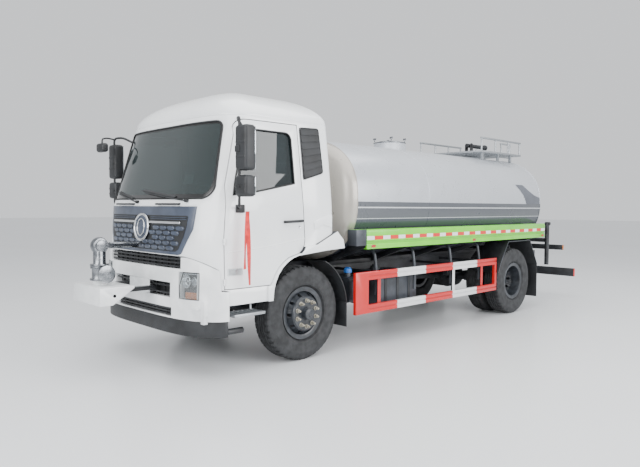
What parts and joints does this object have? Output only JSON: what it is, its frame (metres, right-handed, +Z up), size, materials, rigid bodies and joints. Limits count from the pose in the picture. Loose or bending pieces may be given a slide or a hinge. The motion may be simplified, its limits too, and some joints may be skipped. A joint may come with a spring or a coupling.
{
  "type": "water tank truck",
  "caption": "Cab-over water-sprinkler tank truck: opening doors, steered front wheels, twin rear wheels, round-sided tank with manhole, front spray monitor and rear water cannon.",
  "frame": {"origin": "middle of the footprint on the ground", "axes": "front faces -Y, the driver's side is +X, up is +Z"},
  "size_m": [2.9, 8.91, 3.053],
  "materials": {
    "cab_paint": "gloss",
    "bumper_paint": "gloss",
    "chassis_paint": "satin",
    "tank_paint": "satin",
    "green_paint": "gloss",
    "guard_paint": "gloss",
    "cast_housing": "satin",
    "spring_steel": "satin",
    "stainless": "polished",
    "galvanised": "satin",
    "grille_plastic": "satin",
    "black_plastic": "satin",
    "trim_plastic": "satin",
    "seat_cloth": "matte",
    "front_glass": "gloss",
    "door_glass": "gloss",
    "tyre_rubber": "matte",
    "rim_paint": "satin"
  },
  "bodies": {
    "truck": {"chassis_frame": "chassis_paint", "front_axle_beam": "cast_housing", "rear_axle": "cast_housing", "leaf_springs": "spring_steel", "engine_block": "cast_housing", "propeller_shaft": "spring_steel", "cab_shell": "cab_paint", "cab_roof": "cab_paint", "windshield": "front_glass", "front_panel": "grille_plastic", "dashboard": "trim_plastic", "seats": "seat_cloth", "front_bumper": "bumper_paint", "spray_deck": "bumper_paint", "cab_steps": "galvanised", "mudguards": "black_plastic", "fuel_tank": "chassis_paint", "battery_box": "chassis_paint", "tank_saddles": "chassis_paint", "water_tank": "tank_paint", "side_aprons": "green_paint", "side_guards": "guard_paint", "rear_bumper": "guard_paint", "spray_pipes": "chassis_paint", "work_platform": "galvanised"},
    "door_left": {"door_left": "cab_paint", "door_glass_left": "door_glass", "mirror_left": "black_plastic"},
    "door_right": {"door_right": "cab_paint", "door_glass_right": "door_glass", "mirror_right": "black_plastic"},
    "manhole_lid": {"manhole_lid": "stainless"},
    "monitor_head": {"monitor_head": "stainless"},
    "monitor_barrel": {"monitor_barrel": "stainless"},
    "cannon_head": {"cannon_head": "chassis_paint"},
    "cannon_barrel": {"cannon_barrel": "chassis_paint"},
    "knuckle_left": {"knuckle_left": "cast_housing"},
    "knuckle_right": {"knuckle_right": "cast_housing"},
    "front_wheel_left": {"front_tyre_left": "tyre_rubber", "front_rim_left": "rim_paint"},
    "front_wheel_right": {"front_tyre_right": "tyre_rubber", "front_rim_right": "rim_paint"},
    "rear_wheel_left": {"rear_tyres_left": "tyre_rubber", "rear_rims_left": "rim_paint"},
    "rear_wheel_right": {"rear_tyres_right": "tyre_rubber", "rear_rims_right": "rim_paint"}
  },
  "joints": [
    {"name": "door_left_hinge", "type": "hinge", "parent": "truck", "child": "door_left", "pos_m": [1.146, -3.577, 1.5], "axis": [0, 0, -1], "range_deg": [0, 70]},
    {"name": "door_right_hinge", "type": "hinge", "parent": "truck", "child": "door_right", "pos_m": [-1.146, -3.577, 1.5], "axis": [0, 0, 1], "range_deg": [0, 70]},
    {"name": "manhole_hinge", "type": "hinge", "parent": "truck", "child": "manhole_lid", "pos_m": [0, 0.611, 2.7023], "axis": [-1, 0, 0], "range_deg": [0, 105]},
    {"name": "monitor_swivel", "type": "hinge", "parent": "truck", "child": "monitor_head", "pos_m": [0, -4.315, 1.09], "axis": [0, 0, 1], "range_deg": [-90, 90]},
    {"name": "monitor_tilt", "type": "hinge", "parent": "monitor_head", "child": "monitor_barrel", "pos_m": [0, -4.315, 1.3], "axis": [1, 0, 0], "range_deg": [-15, 60]},
    {"name": "cannon_swivel", "type": "hinge", "parent": "truck", "child": "cannon_head", "pos_m": [0, 2.595, 2.71], "axis": [0, 0, 1], "range_deg": [-170, 170]},
    {"name": "cannon_tilt", "type": "hinge", "parent": "cannon_head", "child": "cannon_barrel", "pos_m": [0, 2.595, 2.83], "axis": [1, 0, 0], "range_deg": [0, 60]},
    {"name": "steer_left", "type": "hinge", "parent": "truck", "child": "knuckle_left", "pos_m": [0.85, -2.465, 0.526], "axis": [0, 0, 1], "range_deg": [-38, 38]},
    {"name": "steer_right", "type": "hinge", "parent": "truck", "child": "knuckle_right", "pos_m": [-0.85, -2.465, 0.526], "axis": [0, 0, 1], "range_deg": [-38, 38]},
    {"name": "front_left_spin", "type": "hinge", "parent": "knuckle_left", "child": "front_wheel_left", "pos_m": [0.961, -2.465, 0.526], "axis": [1, 0, 0], "continuous": true},
    {"name": "front_right_spin", "type": "hinge", "parent": "knuckle_right", "child": "front_wheel_right", "pos_m": [-0.961, -2.465, 0.526], "axis": [1, 0, 0], "continuous": true},
    {"name": "rear_left_spin", "type": "hinge", "parent": "truck", "child": "rear_wheel_left", "pos_m": [0.93, 2.035, 0.526], "axis": [1, 0, 0], "continuous": true},
    {"name": "rear_right_spin", "type": "hinge", "parent": "truck", "child": "rear_wheel_right", "pos_m": [-0.93, 2.035, 0.526], "axis": [1, 0, 0], "continuous": true}
  ],
  "couplings": [
    {"joint": "steer_right", "follows": "steer_left", "ratio": 1}
  ]
}
